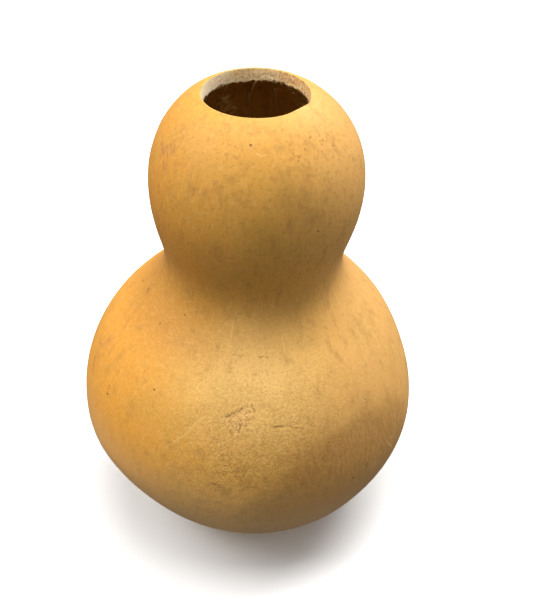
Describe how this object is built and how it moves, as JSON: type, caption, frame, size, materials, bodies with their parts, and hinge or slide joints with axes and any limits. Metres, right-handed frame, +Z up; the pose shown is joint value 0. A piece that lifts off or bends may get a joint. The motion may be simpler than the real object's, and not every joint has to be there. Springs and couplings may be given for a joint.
{
  "type": "dried bottle gourd",
  "caption": "Dried bottle gourd with a large lower lobe and a smaller upper lobe, hollow inside and open at a round mouth cut into its top.",
  "frame": {"origin": "on the surface that the gourd stands on, below the middle of its widest ring", "axes": "+Z up, from the foot towards the mouth; +X to the right and +Y away from a viewer in front, and the neck and head lean a little to +X"},
  "size_m": [0.1836, 0.1833, 0.2554],
  "materials": {
    "dried_gourd": "smooth waxy ochre skin, pale where it is cut, dark and dull inside"
  },
  "bodies": {
    "root": {"gourd": "dried_gourd"}
  },
  "joints": []
}
